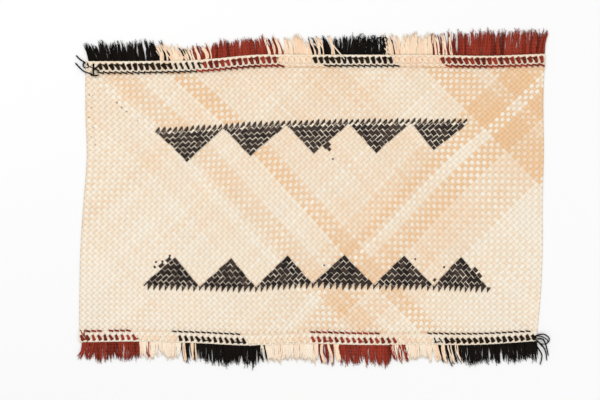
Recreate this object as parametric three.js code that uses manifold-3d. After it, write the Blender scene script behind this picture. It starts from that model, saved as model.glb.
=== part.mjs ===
// A pandanus mat plaited on the bias, with turned hems and a wool fringe along both long edges.
// It lies flat: underside at z = 0, +X along the hems, +Y towards the longer fringe.
// Sizes are in millimetres.
import * as THREE from "three";
import { mergeVertices } from "three/addons/utils/BufferGeometryUtils.js";
import Module from "manifold-3d";

const wasm = await Module();
wasm.setup();

// The plait. Strips run at 45 degrees to the edges, so its checks repeat at a strip's diagonal.
const stripWidth = 6.5;
const check = stripWidth * Math.SQRT2;
const checksAcross = 79;
const checksDown = 49;
const clothThickness = 1.6;
const hemChecks = 1.85; // depth of a turned hem
const hemThickness = 3;
const selvageBite = 0.7; // how far a selvage draws in between two folded strips
const triangleRise = 0.5; // the black strips lie over the natural ones
const triangleGap = 0.05; // in checks, between a triangle's corner and the line to its neighbour
const outlineStep = 4; // checks between two points of a long edge
const hemTuck = 0.3; // checks by which the open cloth runs in under a hem
const hemOverhang = 0.03; // checks by which a hem's end passes the selvage

// The wool bars sewn over each hem, one to a check.
const barRise = 1;
const barSides = 4;
const barRings = 3;

// The fringe: locks of yarn on a narrow backing that lies along the hem.
const apart = 0.3; // clearance between the cloth and a backing, and between two backings
const backingWidth = 3;
const backingHeight = 2.2;
const locksPerCheck = 1.86;
const lockRoot = { width: 3.5, height: 2.2 };
const lockTip = { width: 1.9, height: 1.2 };
const lengthSpread = 3.2;
const leanSpread = 0.9;
const bendSpread = 0.8;
const rootSpread = 0.4;

// Where each row of checks lies, measured up from the middle of the mat.
const rowSpacing = [
  { row: 0, y: -227.1 },
  { row: 15, y: -88.5 },
  { row: 31.5, y: 69.8 },
  { row: 37, y: 117.1 },
  { row: 49, y: 226.8 },
];

// How far four rows of checks wander up or down on their way across.
const lowerRow = 10;
const upperRow = 37;
const wander = [
  { x: -360, bottom: 2.8, lower: 0.5, upper: -10, top: -8.1 },
  { x: -270, bottom: 3.9, lower: 0.8, upper: -9.8, top: -7.8 },
  { x: -180, bottom: 1.6, lower: -1.7, upper: -5.5, top: -5.4 },
  { x: -90, bottom: -2.4, lower: -3.3, upper: 0, top: 2.4 },
  { x: 0, bottom: 0.4, lower: 3, upper: 3, top: 2.5 },
  { x: 90, bottom: -1.5, lower: 1, upper: 4.6, top: 2.2 },
  { x: 180, bottom: -1.1, lower: -0.4, upper: 4.8, top: 2.2 },
  { x: 270, bottom: -1.1, lower: -3.5, upper: 5.7, top: 0.5 },
  { x: 360, bottom: 4.4, lower: -4, upper: 5.5, top: 3.7 },
];

// How far the two selvages stray sideways on their way up.
const selvages = [
  { y: -225, left: -5.5, right: -8 },
  { y: -150, left: -4.7, right: -1.6 },
  { y: -75, left: -3.1, right: 1.6 },
  { y: 0, left: 1.6, right: 1.6 },
  { y: 75, left: 6.8, right: 3.6 },
  { y: 150, left: 4.8, right: 2.7 },
  { y: 225, left: 4.8, right: 5.5 },
];

// How far the checks drift sideways along four rows, as column and shift: at the triangles' bases and points.
const drift = [
  {
    row: lowerRow,
    shifts: [[0, 0], [11, -1.8], [21, -3.9], [31, -7.4], [41, -10], [51, -5.2], [61, -3.2], [71, -9.9], [79, 0]],
  },
  { row: 15, shifts: [[0, 0], [16, 1.6], [26, -2.2], [36, -5.8], [46, -8], [56, -6.2], [66, -8.6], [79, 0]] },
  { row: 31.5, shifts: [[0, 0], [14, 4], [26, -1.5], [40, -3.3], [50.5, -4.2], [61, -9.9], [79, 0]] },
  { row: upperRow, shifts: [[0, 0], [11, 7.5], [25, 5], [40, 4], [56, 0.3], [66, 0], [79, 0]] },
];

// The two rows of black triangles, each triangle's width in checks, from the left.
const triangleRows = [
  { baseRow: upperRow, points: -1, firstColumn: 11, widths: [12, 11, 11, 11, 10] },
  { baseRow: lowerRow, points: 1, firstColumn: 11, widths: [10, 10, 10, 10, 10, 10] },
];
const tooth = { from: 0.12, to: 0.62, tip: 0.78, height: 0.8, valley: 0.12, slope: 0.3 }; // in checks

// The bundles of each fringe, from the left. Columns count checks; lengths and leans are of the locks
// at a bundle's start, middle and end, a lean to the right being positive. A bar's lean is in radians,
// its outer end to the left, and it lies as many checks from the hem's edge as fromEdge says.
const fringes = [
  {
    side: "top",
    row: checksDown,
    outward: 1,
    bar: { length: 10.4, width: 5.2, lean: 0.38, fromEdge: 0.86 },
    bundles: [
      { yarn: "black", to: 14.2, lengths: [25, 31, 25], leans: [-6, -1, 0] },
      { yarn: "natural", to: 18, lengths: [23, 21, 22], leans: [0, 1, 0] },
      { yarn: "red", to: 31.4, lengths: [21, 26, 28], leans: [-1, 2, 1] },
      { yarn: "natural", to: 39, lengths: [29, 29, 23], leans: [0, -2, -1] },
      { yarn: "black", to: 51.6, lengths: [29, 28, 30], leans: [-1, 1, 3] },
      { yarn: "natural", to: 59.7, lengths: [32, 34, 33], leans: [0, 2, 1] },
      { yarn: "red", to: 79, lengths: [34, 40, 37], leans: [1, 0, 5] },
    ],
  },
  {
    side: "bottom",
    row: 0,
    outward: -1,
    bar: { length: 8.8, width: 3.8, lean: 0.55, fromEdge: 0.67 },
    bundles: [
      { yarn: "red", to: 10.4, lengths: [26, 29, 26], leans: [-5, 0, 1] },
      { yarn: "natural", to: 17.4, lengths: [24, 23, 24], leans: [0, 1, 0] },
      { yarn: "black", to: 30.5, lengths: [28, 30, 29], leans: [-1, 1, 2] },
      { yarn: "natural", to: 41.3, lengths: [25, 25, 25], leans: [0, -1, 0] },
      { yarn: "red", to: 53.7, lengths: [28, 31, 30], leans: [0, 1, 3] },
      { yarn: "natural", to: 61, lengths: [27, 25, 25], leans: [1, 0, 0] },
      { yarn: "black", to: 79, lengths: [28, 31, 29], leans: [-1, 1, 2] },
    ],
  },
];

// Locks at the corners that stray: how far their free ends reach along the hem and away from it.
const strays = [
  { node: "fringe_top_1_black", lock: 0, alongX: -17, outwards: 5 },
  { node: "fringe_top_1_black", lock: 1, alongX: -19, outwards: 12 },
  { node: "fringe_bottom_7_black", lock: -1, alongX: 15, outwards: 5 },
];

const colours = {
  straw: 0xe6d0b0,
  black: 0x1c1a1b,
  natural: 0xecd0ae,
  red: 0x8a3424,
};

// A smooth curve through one column of a table, read at any value of its key.
function through(table, key, column, at) {
  const last = table.length - 1;
  let i = 0;
  while (i < last - 1 && at > table[i + 1][key]) i += 1;
  const slope = (k) => {
    const before = table[Math.max(k - 1, 0)];
    const after = table[Math.min(k + 1, last)];
    return (after[column] - before[column]) / (after[key] - before[key]);
  };
  const span = table[i + 1][key] - table[i][key];
  const t = THREE.MathUtils.clamp((at - table[i][key]) / span, 0, 1);
  const t2 = t * t;
  const t3 = t2 * t;
  return (
    table[i][column] * (2 * t3 - 3 * t2 + 1) +
    table[i + 1][column] * (3 * t2 - 2 * t3) +
    span * (slope(i) * (t3 - 2 * t2 + t) + slope(i + 1) * (t3 - t2))
  );
}

// Where a place in the plait, counted in checks from its lower left corner, lies on the table.
function laid(column, row) {
  const { lerp, clamp } = THREE.MathUtils;
  const flatX = (column - checksAcross / 2) * check;
  const flatY = through(rowSpacing, "row", "y", row);
  const inner = clamp((row - lowerRow) / (upperRow - lowerRow), 0, 1);
  const outer = row < lowerRow ? row / lowerRow : (checksDown - row) / (checksDown - upperRow);
  const inside = clamp(outer, 0, 1); // 0 on a hem's edge, 1 between the rows of triangles
  const at = (name) => through(wander, "x", name, flatX);
  const sideways = [
    { row: 0, shift: 0 },
    ...drift.map((one) => ({ row: one.row, shift: through(one.shifts, 0, 1, column) })),
    { row: checksDown, shift: 0 },
  ];
  const edge = row < lowerRow ? at("bottom") : at("top");
  const side = lerp(
    through(selvages, "y", "left", flatY),
    through(selvages, "y", "right", flatY),
    column / checksAcross,
  );
  return new THREE.Vector2(
    flatX + side + through(sideways, "row", "shift", row),
    flatY + lerp(edge, lerp(at("lower"), at("upper"), inner), inside),
  );
}

// Repeatable unevenness between -1 and 1.
function uneven(i, kind) {
  const s = Math.sin(i * 12.9898 + kind * 78.233) * 43758.5453;
  return 2 * (s - Math.floor(s)) - 1;
}

function solidOf(geometry) {
  geometry.deleteAttribute("normal");
  geometry.deleteAttribute("uv");
  const merged = mergeVertices(geometry, 1e-4);
  return new wasm.Manifold(
    new wasm.Mesh({
      numProp: 3,
      vertProperties: new Float32Array(merged.attributes.position.array),
      triVerts: new Uint32Array(merged.index.array),
    }),
  );
}

function geometryOf(solid) {
  const { numProp, vertProperties, triVerts } = solid.getMesh();
  const positions = [];
  for (let i = 0; i < vertProperties.length; i += numProp)
    positions.push(vertProperties[i], vertProperties[i + 1], vertProperties[i + 2]);
  const geometry = new THREE.BufferGeometry();
  geometry.setAttribute("position", new THREE.Float32BufferAttribute(positions, 3));
  geometry.setIndex([...triVerts]);
  geometry.computeVertexNormals();
  return geometry;
}

// A flat plate of the given outline between two heights.
function plate(outline, low, high) {
  const geometry = new THREE.ExtrudeGeometry(new THREE.Shape(outline), {
    depth: high - low,
    bevelEnabled: false,
  });
  return solidOf(geometry.translate(0, 0, low));
}

// Places along one row, from one column to another.
function alongRow(row, from, to, shiftY = 0) {
  const steps = Math.max(1, Math.ceil((to - from) / outlineStep));
  const shift = new THREE.Vector2(0, shiftY);
  return Array.from({ length: steps + 1 }, (_, i) =>
    laid(THREE.MathUtils.lerp(from, to, i / steps), row).add(shift),
  );
}

// The cloth between the hems. At its two selvages each strip folds back on itself.
function openCloth() {
  const low = hemChecks - hemTuck;
  const high = checksDown - low;
  const selvage = (column, inward) => {
    const places = [];
    for (let row = Math.ceil(low); row < high; row += 0.5) {
      const place = laid(column, row);
      if (row % 1) place.x += inward * selvageBite;
      places.push(place);
    }
    return places;
  };
  return [
    ...alongRow(low, 0, checksAcross),
    ...selvage(checksAcross, -1),
    ...alongRow(high, 0, checksAcross).reverse(),
    ...selvage(0, 1).reverse(),
  ];
}

// A black triangle with the teeth along its base, where its strips dive under the natural ones.
function triangleOutline(baseRow, points, first, width) {
  const outline = [laid(first + triangleGap, baseRow)];
  const valley = (along) => {
    const depth = Math.min(tooth.valley * (1 + uneven(first + along, 5)), along * tooth.slope);
    return laid(first + along, baseRow + points * depth);
  };
  for (let i = 0; i < width; i += 1)
    outline.push(
      valley(i + tooth.from),
      laid(first + i + tooth.tip, baseRow - points * tooth.height),
      valley(i + tooth.to),
    );
  outline.push(laid(first + width - triangleGap, baseRow));
  outline.push(laid(first + width / 2, baseRow + (points * width) / 2));
  return outline;
}

function hemBar(column, row, inward, { length, width, lean, fromEdge }) {
  const bar = new THREE.SphereGeometry(1, barSides, barRings);
  bar.scale(width / 2, length / 2, barRise * 1.4);
  bar.rotateZ(lean);
  const place = laid(column, row + inward * fromEdge);
  bar.translate(place.x, place.y, hemThickness - barRise * 0.4);
  return solidOf(bar);
}

function mat() {
  let solid = plate(openCloth(), 0, clothThickness);
  for (const { row, outward, bar } of fringes) {
    const innerRow = row - outward * hemChecks;
    const outer = alongRow(row, -hemOverhang, checksAcross + hemOverhang);
    const inner = alongRow(innerRow, -hemOverhang, checksAcross + hemOverhang);
    solid = solid.add(plate([...outer, ...inner.reverse()], 0, hemThickness));
    for (let i = 0; i < checksAcross; i += 1) solid = solid.add(hemBar(i + 0.5, row, -outward, bar));
  }
  for (const { baseRow, points, firstColumn, widths } of triangleRows) {
    let first = firstColumn;
    for (const width of widths) {
      const outline = triangleOutline(baseRow, points, first, width);
      solid = solid.add(plate(outline, clothThickness / 2, clothThickness + triangleRise));
      first += width;
    }
  }
  return geometryOf(solid);
}

// A four-sided lock of yarn, seen from above: its left side out to the thinner free end, then its right.
function lock(root, reach, bend, seed) {
  const corner = (t, side) => {
    const place = root.clone().addScaledVector(reach, t);
    place.x += (side * THREE.MathUtils.lerp(lockRoot.width, lockTip.width, t)) / 2;
    place.x += bend * Math.sin(Math.PI * t);
    if (t === 0) place.y += rootSpread * uneven(seed, 6 + side);
    place.rise = THREE.MathUtils.lerp(lockRoot.height, lockTip.height, t);
    return place;
  };
  const steps = [0, 0.5, 1];
  return [...steps.map((t) => corner(t, -1)), ...steps.reverse().map((t) => corner(t, 1))];
}

// One bundle, level on the table: a backing just off the hem's edge, with its locks growing from it.
function bundle(name, { row, outward }, { lengths, leans }, from, to) {
  const trim = apart / 2 / check;
  const outline = alongRow(row, from + trim, to - trim, outward * apart).reverse();
  const rootAt = (column) =>
    laid(column, row).add(new THREE.Vector2(0, outward * (apart + backingWidth)));
  outline.push(rootAt(from + trim));
  const stations = [0, 0.5, 1].map((t, k) => ({ t, length: lengths[k], lean: leans[k] }));
  const astray = strays.filter(({ node }) => node === name);
  const count = Math.round((to - from) * locksPerCheck);
  for (let i = 0; i < count; i += 1) {
    const t = (i + 0.5) / count;
    const column = THREE.MathUtils.lerp(from, to, t);
    const seed = column * 10 + row;
    const stray = astray.find(({ lock: at }) => at === (at < 0 ? i - count : i));
    const length = through(stations, "t", "length", t) + lengthSpread * uneven(seed, 1);
    const lean = through(stations, "t", "lean", t) + leanSpread * uneven(seed, 2);
    const reach = stray
      ? new THREE.Vector2(stray.alongX, outward * stray.outwards)
      : new THREE.Vector2(lean, outward * (length - backingWidth));
    outline.push(...lock(rootAt(column), reach, bendSpread * uneven(seed, 3), seed));
  }
  outline.push(rootAt(to - trim));
  const geometry = new THREE.ExtrudeGeometry(new THREE.Shape(outline), {
    depth: backingHeight,
    bevelEnabled: false,
  });
  const nameOf = (x, y) => `${Math.fround(x)} ${Math.fround(y)}`;
  const heights = new Map(outline.map((p) => [nameOf(p.x, p.y), p.rise ?? backingHeight]));
  const position = geometry.attributes.position;
  for (let i = 0; i < position.count; i += 1)
    if (position.getZ(i) > 0)
      position.setZ(i, heights.get(nameOf(position.getX(i), position.getY(i))));
  return geometryOf(solidOf(geometry));
}

function piece(name, geometry, colour, roughness) {
  const material = new THREE.MeshStandardMaterial({ color: colours[colour], roughness, metalness: 0 });
  material.flatShading = true;
  const mesh = new THREE.Mesh(geometry, material);
  mesh.name = name;
  return mesh;
}

const part = new THREE.Group();
part.add(piece("mat", mat(), "straw", 0.55));
for (const fringe of fringes) {
  let from = 0;
  fringe.bundles.forEach((one, i) => {
    const name = `fringe_${fringe.side}_${i + 1}_${one.yarn}`;
    part.add(piece(name, bundle(name, fringe, one, from, one.to), one.yarn, 0.9));
    from = one.to;
  });
}

// The origin is the middle of everything, on the table.
const middle = new THREE.Box3().setFromObject(part).getCenter(new THREE.Vector3());
part.position.set(-middle.x, -middle.y, 0);

export default part;
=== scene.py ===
import math
import random

import bmesh
import bpy
from mathutils import Matrix, Vector, noise


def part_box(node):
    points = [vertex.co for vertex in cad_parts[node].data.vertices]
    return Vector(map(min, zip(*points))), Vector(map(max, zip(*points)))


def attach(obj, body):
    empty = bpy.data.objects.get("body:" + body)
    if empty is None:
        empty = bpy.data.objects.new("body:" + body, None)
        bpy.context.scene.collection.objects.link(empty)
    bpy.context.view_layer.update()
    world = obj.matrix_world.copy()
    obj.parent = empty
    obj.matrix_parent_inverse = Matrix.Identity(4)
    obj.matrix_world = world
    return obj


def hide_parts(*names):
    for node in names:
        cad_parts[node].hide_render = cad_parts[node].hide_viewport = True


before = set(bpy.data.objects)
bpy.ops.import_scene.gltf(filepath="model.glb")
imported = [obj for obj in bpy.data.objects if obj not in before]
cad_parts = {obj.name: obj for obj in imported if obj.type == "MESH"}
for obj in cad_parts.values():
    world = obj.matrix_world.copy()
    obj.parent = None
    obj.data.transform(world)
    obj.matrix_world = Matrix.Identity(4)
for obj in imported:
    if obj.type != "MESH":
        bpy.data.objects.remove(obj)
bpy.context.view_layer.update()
mm = 0.001

# The mat's own map
# Columns of checks run left to right and rows run up, and laid() says where a place on that map
# lies on the table. Lengths in these tables are in millimetres, as they were measured.
plait = {
    "stripWidth": 6.5 * mm,
    "across": 79,
    "down": 49,
    "lowerRow": 10,  # base of the lower row of triangles
    "upperRow": 37,
    "hemOverhang": 0.03,  # checks by which a hem's end passes the selvage
}
check = plait["stripWidth"] * math.sqrt(2)
bottomEdge, lowerBase, upperBase, topEdge = 1, 2, 3, 4  # places in a row of wander
leftSide, rightSide = 1, 2  # places in a row of selvages
rowSpacing = [(0, -227.1), (15, -88.5), (31.5, 69.8), (37, 117.1), (49, 226.8)]  # row, y
wander = [  # x, and how far the bottom edge, lower row, upper row and top edge stray in y there
    (-360, 2.8, 0.5, -10, -8.1), (-270, 3.9, 0.8, -9.8, -7.8), (-180, 1.6, -1.7, -5.5, -5.4),
    (-90, -2.4, -3.3, 0, 2.4), (0, 0.4, 3, 3, 2.5), (90, -1.5, 1, 4.6, 2.2),
    (180, -1.1, -0.4, 4.8, 2.2), (270, -1.1, -3.5, 5.7, 0.5), (360, 4.4, -4, 5.5, 3.7),
]
selvages = [  # y, and how far the left and right selvage stray in x there
    (-225, -5.5, -8), (-150, -4.7, -1.6), (-75, -3.1, 1.6), (0, 1.6, 1.6),
    (75, 6.8, 3.6), (150, 4.8, 2.7), (225, 4.8, 5.5),
]
drift = [  # row, and how far the checks shift in x along it: column, shift
    (10, [(0, 0), (11, -1.8), (21, -3.9), (31, -7.4), (41, -10), (51, -5.2), (61, -3.2), (71, -9.9),
          (79, 0)]),
    (15, [(0, 0), (16, 1.6), (26, -2.2), (36, -5.8), (46, -8), (56, -6.2), (66, -8.6), (79, 0)]),
    (31.5, [(0, 0), (14, 4), (26, -1.5), (40, -3.3), (50.5, -4.2), (61, -9.9), (79, 0)]),
    (37, [(0, 0), (11, 7.5), (25, 5), (40, 4), (56, 0.3), (66, 0), (79, 0)]),
]


def lerp(a, b, t):
    return a + (b - a) * t


def clamp(value, low=0.0, high=1.0):
    return min(max(value, low), high)


# A smooth curve through one column of a table.
def through(table, column, at):
    last = len(table) - 1
    i = 0
    while i < last - 1 and at > table[i + 1][0]:
        i += 1

    def slope(k):
        before, after = table[max(k - 1, 0)], table[min(k + 1, last)]
        return (after[column] - before[column]) / (after[0] - before[0])

    span = table[i + 1][0] - table[i][0]
    t = clamp((at - table[i][0]) / span)
    here, there = table[i][column], table[i + 1][column]
    return (here * (2 * t**3 - 3 * t * t + 1) + there * (3 * t * t - 2 * t**3)
            + span * (slope(i) * (t**3 - 2 * t * t + t) + slope(i + 1) * (t**3 - t * t)))


def laidOnPlait(column, row):
    low, up, down = plait["lowerRow"], plait["upperRow"], plait["down"]
    flatX = (column - plait["across"] / 2) * check / mm
    flatY = through(rowSpacing, 1, row)
    inner = clamp((row - low) / (up - low))
    inside = clamp(row / low if row < low else (down - row) / (down - up))
    edge = through(wander, bottomEdge if row < low else topEdge, flatX)
    side = lerp(through(selvages, leftSide, flatY), through(selvages, rightSide, flatY),
                column / plait["across"])
    sideways = [(0, 0), *((at, through(shifts, 1, column)) for at, shifts in drift), (down, 0)]
    x = flatX + side + through(sideways, 1, row)
    middle = lerp(through(wander, lowerBase, flatX), through(wander, upperBase, flatX), inner)
    return x * mm, (flatY + lerp(edge, middle, inside)) * mm


# The mat's own solid says where the map lies in the frame.
matLow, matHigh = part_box("mat")
shiftX = matLow[0] - min(laidOnPlait(-plait["hemOverhang"], row / 4)[0] for row in range(8))
shiftY = matHigh[1] - max(laidOnPlait(column / 2, plait["down"])[1] for column in range(159))


def laid(column, row):
    x, y = laidOnPlait(column, row)
    return x + shiftX, y + shiftY


print("map: %.1f checks across, shifted %.2f and %.2f mm" % (plait["across"], shiftX / mm, shiftY / mm))


# Materials
def newMaterial(name, roughness, sheen=0.0, sheenTint=(1, 1, 1), shine=0.35):
    material = bpy.data.materials.new(name)
    material.use_nodes = True
    shader = material.node_tree.nodes["Principled BSDF"]
    shader.inputs["Roughness"].default_value = roughness
    shader.inputs["Specular IOR Level"].default_value = shine
    shader.inputs["Sheen Weight"].default_value = sheen
    shader.inputs["Sheen Roughness"].default_value = 0.5
    shader.inputs["Sheen Tint"].default_value = (*sheenTint, 1)
    return material, shader


def addNode(tree, kind, **settings):
    made = tree.nodes.new(kind)
    for key, value in settings.items():
        if hasattr(made, key):
            setattr(made, key, value)
        else:
            made.inputs[key.replace("_", " ")].default_value = value
    return made


def joinUp(tree, pairs):
    for start, end in pairs:
        tree.links.new(start, end)


def calculate(tree, operation, first, second=None):
    made = addNode(tree, "ShaderNodeMath", operation=operation)
    for socket, value in zip(made.inputs, (first, second)):
        if isinstance(value, (int, float)):
            socket.default_value = value
        elif value is not None:
            tree.links.new(value, socket)
    return made.outputs[0]


def remap(tree, value, *limits):
    made = addNode(tree, "ShaderNodeMapRange")
    for name, number in zip(("From Min", "From Max", "To Min", "To Max"), limits):
        made.inputs[name].default_value = number
    tree.links.new(value, made.inputs["Value"])
    return made.outputs["Result"]


def blendColours(tree, factor, first, second, mode="MIX"):
    made = addNode(tree, "ShaderNodeMix", data_type="RGBA", blend_type=mode)
    for socket, value in ((made.inputs[0], factor), (made.inputs[6], first), (made.inputs[7], second)):
        if isinstance(value, (int, float)):
            socket.default_value = value
        elif isinstance(value, tuple):
            socket.default_value = (*value, 1)
        else:
            tree.links.new(value, socket)
    return made.outputs[2]


def combineGrey(tree, value):
    made = addNode(tree, "ShaderNodeCombineColor")
    for socket in made.inputs:
        tree.links.new(value, socket)
    return made.outputs[0]


def attributeOf(tree, name):
    return addNode(tree, "ShaderNodeAttribute", attribute_name=name).outputs["Fac"]


def newGroup(name, given, made):
    tree = bpy.data.node_groups.new(name, "ShaderNodeTree")
    for way, names in (("INPUT", given), ("OUTPUT", made)):
        for socket in names:
            tree.interface.new_socket(name=socket, in_out=way, socket_type="NodeSocketFloat")
    return tree, addNode(tree, "NodeGroupInput").outputs, addNode(tree, "NodeGroupOutput").inputs


# A place in a texture from three values, each times its scale.
def placeOf(tree, *scaled):
    place = addNode(tree, "ShaderNodeCombineXYZ")
    for socket, (value, scale) in zip(place.inputs, scaled):
        tree.links.new(calculate(tree, "MULTIPLY", value, scale), socket)
    return place.outputs[0]


# A group whose inputs read the piece's own attributes.
def useGroup(tree, group, **attributes):
    made = addNode(tree, "ShaderNodeGroup", node_tree=group)
    for socket, name in attributes.items():
        tree.links.new(attributeOf(tree, name), made.inputs[socket])
    return made.outputs


ribs = {
    "along": 30,  # how fast the ribs change per metre along a strip
    "across": 1500,
    "seed": 17,
    "streaks": (1.6, 0.35, 1),  # scale of the streaks over the ribs'
}


# Fine ribs along a dried leaf strip, with the odd darker streak. The strip's own attributes
# "along" and "aside" are in metres, so the ribs follow each strip over and under.
def makeLeafGrain():
    tree, given, end = newGroup("leafGrain", ("Along", "Aside", "Seed"), ("Ribs", "Streaks", "Height"))
    place = placeOf(tree, (given["Along"], ribs["along"]), (given["Aside"], ribs["across"]),
                    (given["Seed"], ribs["seed"]))
    fine = addNode(tree, "ShaderNodeTexNoise", Scale=1.0, Detail=3.0, Roughness=0.6)
    longPlace = addNode(tree, "ShaderNodeVectorMath", operation="MULTIPLY")
    longPlace.inputs[1].default_value = ribs["streaks"]
    streaks = addNode(tree, "ShaderNodeTexNoise", Scale=1.0, Detail=2.0, Roughness=0.5)
    joinUp(tree, [(place, fine.inputs["Vector"]), (place, longPlace.inputs[0]),
                  (longPlace.outputs[0], streaks.inputs["Vector"]),
                  (remap(tree, fine.outputs[0], 0.25, 0.75, 0, 1), end["Ribs"]),
                  (remap(tree, streaks.outputs[0], 0.35, 0.7, 0, 1), end["Streaks"]),
                  (fine.outputs[0], end["Height"])])
    return tree


twist = {"turns": 190, "plies": 2, "fuzzAlong": 900, "fuzzAround": 9, "seed": 31, "fuzzHeight": 0.8}


# Plies of a spun yarn, from "around" (turns) and "along" (metres), and loose fuzz over them. The ply is also
# used as painted shade between the plies.
def makeWoolTwist():
    tree, given, end = newGroup("woolTwist", ("Around", "Along", "Seed"), ("Ply", "Fuzz", "Height"))
    turns = calculate(tree, "ADD", calculate(tree, "MULTIPLY", given["Along"], twist["turns"]),
                      calculate(tree, "MULTIPLY", given["Around"], twist["plies"]))
    wave = calculate(tree, "SINE", calculate(tree, "MULTIPLY", turns, 2 * math.pi))
    ply = remap(tree, wave, -1, 1, 0, 1)
    place = placeOf(tree, (given["Along"], twist["fuzzAlong"]), (given["Around"], twist["fuzzAround"]),
                    (given["Seed"], twist["seed"]))
    fuzz = addNode(tree, "ShaderNodeTexNoise", Scale=1.0, Detail=3.0, Roughness=0.7)
    fuzzed = calculate(tree, "MULTIPLY", fuzz.outputs[0], twist["fuzzHeight"])
    joinUp(tree, [(place, fuzz.inputs["Vector"]), (ply, end["Ply"]), (fuzz.outputs[0], end["Fuzz"]),
                  (calculate(tree, "ADD", ply, fuzzed), end["Height"])])
    return tree


leafGrain = makeLeafGrain()
woolTwist = makeWoolTwist()
leafFinish = {
    "blotches": 14.0,  # to a metre
    "blotchTone": 0.1,
    "streakTone": (-0.06, 0.1),
    "blotchShade": (0.97, 1.02),
    "ribShade": (0.96, 1.03),
    "ribRoughness": (0.08, -0.06),  # added in the valleys and on the ribs
    "ribHeight": 0.2 * mm,
}
woolFinish = {  # the first three are shares of the lit colour: ply paints shade into the grooves between plies, fuzz and tone vary the yarn's own colour
    "ply": 0.3, "fuzz": 0.25, "tone": 0.68, "bump": 0.6, "plyHeight": 0.3 * mm,
}


# Dried pandanus: pale cream to tan by the strip's "tone", with painted shade towards a dark colour where
# "shade" is low.
def makeLeaf(name, pale, tan, paintedShadeColour, roughness, ridged, shine=0.35):
    material, shader = newMaterial(name, roughness, shine=shine)
    tree = material.node_tree
    grain = useGroup(tree, leafGrain, Along="along", Aside="aside", Seed="tone")
    place = addNode(tree, "ShaderNodeTexCoord").outputs["Object"]
    blotch = addNode(tree, "ShaderNodeTexNoise", Scale=leafFinish["blotches"], Detail=3.0, Roughness=0.55)
    joinUp(tree, [(place, blotch.inputs["Vector"])])
    blotched = remap(tree, blotch.outputs[0], 0.3, 0.7, -leafFinish["blotchTone"], leafFinish["blotchTone"])
    tone = calculate(tree, "ADD", attributeOf(tree, "tone"), blotched)
    tone = calculate(tree, "ADD", tone, remap(tree, grain["Streaks"], 0, 1, *leafFinish["streakTone"]))
    light = addNode(tree, "ShaderNodeClamp")
    tree.links.new(tone, light.inputs["Value"])
    colour = blendColours(tree, light.outputs[0], pale, tan)
    ribbed = remap(tree, grain["Ribs"], 0, 1, *leafFinish["ribShade"])
    stained = remap(tree, blotch.outputs[0], 0.3, 0.7, *leafFinish["blotchShade"])
    shade = calculate(tree, "MULTIPLY", ribbed, stained)
    colour = blendColours(tree, 1.0, colour, combineGrey(tree, shade), "MULTIPLY")
    # painted shade: darker in the gaps, where a leaf dives under another, and towards its edges and ends
    colour = blendColours(tree, attributeOf(tree, "shade"), paintedShadeColour, colour)
    valley, ridge = leafFinish["ribRoughness"]
    bump = addNode(tree, "ShaderNodeBump", Strength=ridged, Distance=leafFinish["ribHeight"])
    joinUp(tree, [(grain["Height"], bump.inputs["Height"]),
                  (bump.outputs[0], shader.inputs["Normal"]),
                  (colour, shader.inputs["Base Color"]),
                  (remap(tree, grain["Ribs"], 0, 1, roughness + valley, roughness + ridge),
                   shader.inputs["Roughness"])])
    return material


def makeWool(name, dark, light, sheen, shine=0.25, roughness=0.92):
    material, shader = newMaterial(name, roughness, sheen, light, shine)
    tree = material.node_tree
    spun = useGroup(tree, woolTwist, Around="around", Along="along", Seed="tone")
    # painted shade: the colour darkens between the plies, while fuzz and each yarn's tone vary its own
    # colour
    amount = calculate(tree, "ADD", calculate(tree, "MULTIPLY", spun["Ply"], woolFinish["ply"]),
                       calculate(tree, "MULTIPLY", spun["Fuzz"], woolFinish["fuzz"]))
    amount = calculate(tree, "ADD", amount,
                       calculate(tree, "MULTIPLY", attributeOf(tree, "tone"), woolFinish["tone"]))
    colour = blendColours(tree, calculate(tree, "MINIMUM", amount, 1), dark, light)
    bump = addNode(tree, "ShaderNodeBump", Strength=woolFinish["bump"], Distance=woolFinish["plyHeight"])
    joinUp(tree, [(colour, shader.inputs["Base Color"]), (spun["Height"], bump.inputs["Height"]),
                  (bump.outputs[0], shader.inputs["Normal"])])
    return material


leafColours = {
    "pale": (0.96, 0.87, 0.725),
    "tan": (0.88, 0.57, 0.32),
    "paintedShadeColour": (0.56, 0.39, 0.24),  # painted shade, in the gaps
    "black": (0.012, 0.0075, 0.0065),
    "blackWorn": (0.085, 0.056, 0.043),
}
woolColours = {  # painted shadow and lit colour of each yarn, whose mix also carries each yarn's own darker or lighter tone
    "black": ((0.002, 0.0015, 0.0015), (0.015, 0.011, 0.009)),
    "sewnBlack": ((0.006, 0.003, 0.0015), (0.036, 0.019, 0.010)),  # browner, in the hems
    "natural": ((0.95, 0.60, 0.39), (1.0, 0.86, 0.66)),
    "faded": ((0.97, 0.71, 0.51), (1.0, 0.90, 0.75)),  # natural yarn of the bottom hem
    "red": ((0.016, 0.0013, 0.001), (0.41, 0.054, 0.029)),
}
straw = makeLeaf("strawStrip", leafColours["pale"], leafColours["tan"], leafColours["paintedShadeColour"], 0.6, 0.4)
# (0.006, 0.004, 0.0035) is the black leaf's painted shade colour
blackLeaf = makeLeaf("blackStrip", leafColours["black"], leafColours["blackWorn"],
                     (0.006, 0.004, 0.0035), 0.55, 0.5, 0.16)
wool = {
    "black": makeWool("blackWool", *woolColours["black"], 0.01, 0.04),
    "sewnBlack": makeWool("sewnBlackWool", *woolColours["sewnBlack"], 0.02, 0.08),
    "natural": makeWool("naturalWool", *woolColours["natural"], 0.25),
    "faded": makeWool("fadedWool", *woolColours["faded"], 0.25),
    "red": makeWool("redWool", *woolColours["red"], 0.05, 0.1),
}
print("materials made")


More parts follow.
